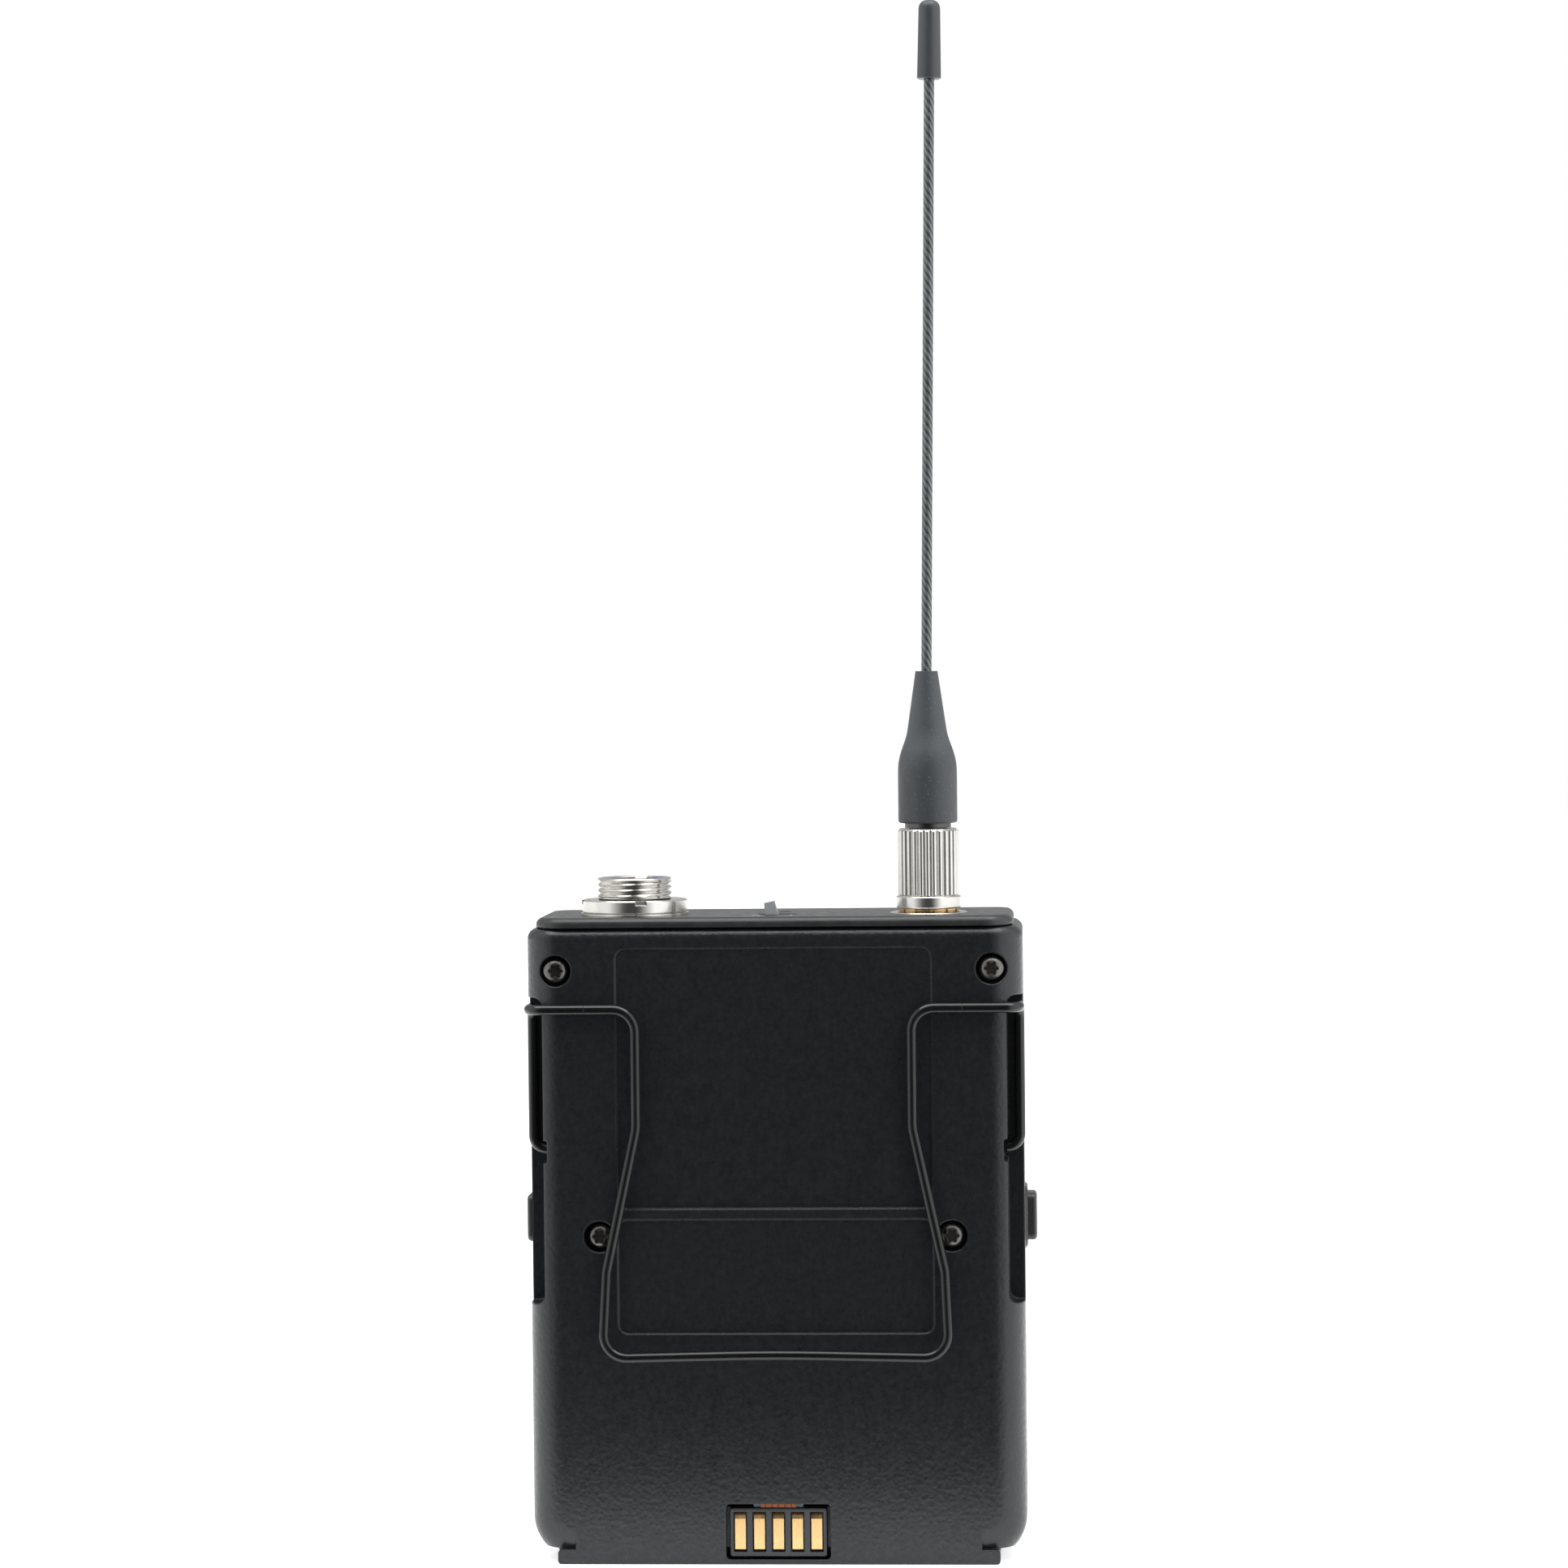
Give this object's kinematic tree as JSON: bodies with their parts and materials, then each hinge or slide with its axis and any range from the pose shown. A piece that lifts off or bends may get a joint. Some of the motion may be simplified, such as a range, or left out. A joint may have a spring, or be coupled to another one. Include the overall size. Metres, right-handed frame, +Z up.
{
  "type": "wireless bodypack transmitter",
  "caption": "Body-worn wireless microphone transmitter: textured black case, wire belt clip, threaded input socket, screw-on whip antenna, toggle, hinged battery door.",
  "frame": {"origin": "middle of the flat bottom that the pack stands on", "axes": "+Z up along the antenna, -Y out of the back with the belt clip, +X to the right when looking at the back"},
  "size_m": [0.0692, 0.0267, 0.2077],
  "materials": {
    "case_black": "die-cast shell, black fine-textured powder coat",
    "cap_black": "black moulded plate, fine texture, slight gloss at grazing view",
    "screw_black": "black zinc, satin",
    "clip_wire": "black satin coating on spring wire",
    "nickel": "bright nickel plating",
    "dark_nickel": "dark nickel plating",
    "gold": "gold plating",
    "insulator_blue": "blue moulded insulator",
    "ptfe": "white PTFE",
    "boot_rubber": "dark grey moulded rubber with a fine grain",
    "whip_jacket": "twisted steel strands in a dark translucent jacket",
    "tip_plastic": "dark grey satin moulding",
    "lever_grey": "light grey moulding",
    "switch_black": "black moulding",
    "light_pipe": "smoked clear light pipe",
    "board_green": "green solder mask",
    "tin": "tinned sheet steel",
    "chip_black": "moulded chip packages",
    "display_dark": "liquid crystal panel, off",
    "window_glass": "clear hard-coated window",
    "infrared_dark": "dark red infrared window",
    "key_grey": "dark grey keys",
    "tray_black": "black moulded tray",
    "battery_wrap": "grey battery case",
    "spring_steel": "bare spring steel",
    "foam": "black foam",
    "latch_black": "satin black moulding",
    "block_black": "dark grey moulding",
    "flex_amber": "amber polyimide flex",
    "stiffener_blue": "blue-grey stiffener"
  },
  "bodies": {
    "housing": {"rear_shell": "case_black", "front_shell": "case_black", "top_plate": "cap_black", "case_screws": "screw_black", "clip_arm_left": "clip_wire", "clip_arm_right": "clip_wire", "input_barrel": "nickel", "input_ring_nut": "nickel", "input_washer": "nickel", "input_insulator": "insulator_blue", "input_pins": "gold", "sma_jack_body": "gold", "sma_jack_insulator": "ptfe", "sma_jack_contact": "gold", "sma_washer": "nickel", "sma_lock_nut": "gold", "toggle_switch_body": "switch_black", "status_light_pipe": "light_pipe", "main_board": "board_green", "ui_board": "board_green", "shield_can": "tin", "board_chips": "chip_black", "display_module": "display_dark", "display_window": "window_glass", "infrared_window": "infrared_dark", "key_switches": "switch_black", "battery_tray": "tray_black", "battery_contacts": "gold", "battery_pack": "battery_wrap", "door_hinge_pin": "spring_steel", "latch_spring_left": "spring_steel", "latch_spring_right": "spring_steel", "charge_contact_block": "block_black", "charge_contacts": "gold", "charge_flex": "flex_amber", "flex_stiffener": "stiffener_blue"},
    "belt_clip": {"clip_loop": "clip_wire"},
    "power_toggle": {"toggle_lever": "lever_grey"},
    "battery_door": {"battery_door": "case_black", "door_pressure_pad": "foam"},
    "latch_left": {"latch_button_left": "latch_black"},
    "latch_right": {"latch_button_right": "latch_black"},
    "menu_key": {"key_menu": "key_grey"},
    "down_key": {"key_down": "key_grey"},
    "up_key": {"key_up": "key_grey"},
    "enter_key": {"key_enter": "key_grey"},
    "antenna": {"antenna_core": "dark_nickel", "antenna_plug_insulator": "ptfe", "antenna_plug_pin": "gold", "antenna_boot": "boot_rubber", "whip_lower": "whip_jacket"},
    "antenna_nut": {"antenna_grip_nut": "nickel"},
    "whip": {"whip_upper": "whip_jacket", "whip_tip_cap": "tip_plastic"}
  },
  "joints": [
    {"name": "belt_clip_flex", "type": "hinge", "parent": "housing", "child": "belt_clip", "pos_m": [0, -0.01235, 0.0739], "axis": [-1, 0, 0], "range_deg": [0, 15], "stiffness_Nm_per_rad": 0.3},
    {"name": "power_toggle_throw", "type": "hinge", "parent": "housing", "child": "power_toggle", "pos_m": [0.0003, -0.004, 0.082], "axis": [0, 1, 0], "range_deg": [0, 22]},
    {"name": "battery_door_hinge", "type": "hinge", "parent": "housing", "child": "battery_door", "pos_m": [0, 0.0097, 0.0048], "axis": [-1, 0, 0], "range_deg": [0, 90]},
    {"name": "latch_left_press", "type": "slide", "parent": "housing", "child": "latch_left", "axis": [1, 0, 0], "range_m": [0, 0.001], "stiffness_N_per_m": 400, "deforming": ["latch_spring_left"]},
    {"name": "latch_right_press", "type": "slide", "parent": "housing", "child": "latch_right", "axis": [-1, 0, 0], "range_m": [0, 0.001], "stiffness_N_per_m": 400, "deforming": ["latch_spring_right"]},
    {"name": "menu_key_press", "type": "slide", "parent": "housing", "child": "menu_key", "axis": [0, -1, 0], "range_m": [0, 0.0004], "stiffness_N_per_m": 300},
    {"name": "down_key_press", "type": "slide", "parent": "housing", "child": "down_key", "axis": [0, -1, 0], "range_m": [0, 0.0004], "stiffness_N_per_m": 300},
    {"name": "up_key_press", "type": "slide", "parent": "housing", "child": "up_key", "axis": [0, -1, 0], "range_m": [0, 0.0004], "stiffness_N_per_m": 300},
    {"name": "enter_key_press", "type": "slide", "parent": "housing", "child": "enter_key", "axis": [0, -1, 0], "range_m": [0, 0.0004], "stiffness_N_per_m": 300},
    {"name": "antenna_lift", "type": "slide", "parent": "housing", "child": "antenna", "axis": [0, 0, 1], "range_m": [0, 0.0046]},
    {"name": "antenna_nut_turn", "type": "hinge", "parent": "antenna", "child": "antenna_nut", "pos_m": [0.0205, -0.0025, 0.09], "axis": [0, 0, 1], "range_deg": [0, 2340]},
    {"name": "whip_bend", "type": "hinge", "parent": "antenna", "child": "whip", "pos_m": [0.02066, -0.0025, 0.13], "axis": [0, 1, 0], "range_deg": [-35, 35], "stiffness_Nm_per_rad": 0.05}
  ],
  "couplings": [
    {"joint": "antenna_lift", "follows": "antenna_nut_turn", "m_per_rad": 0.0001123}
  ]
}
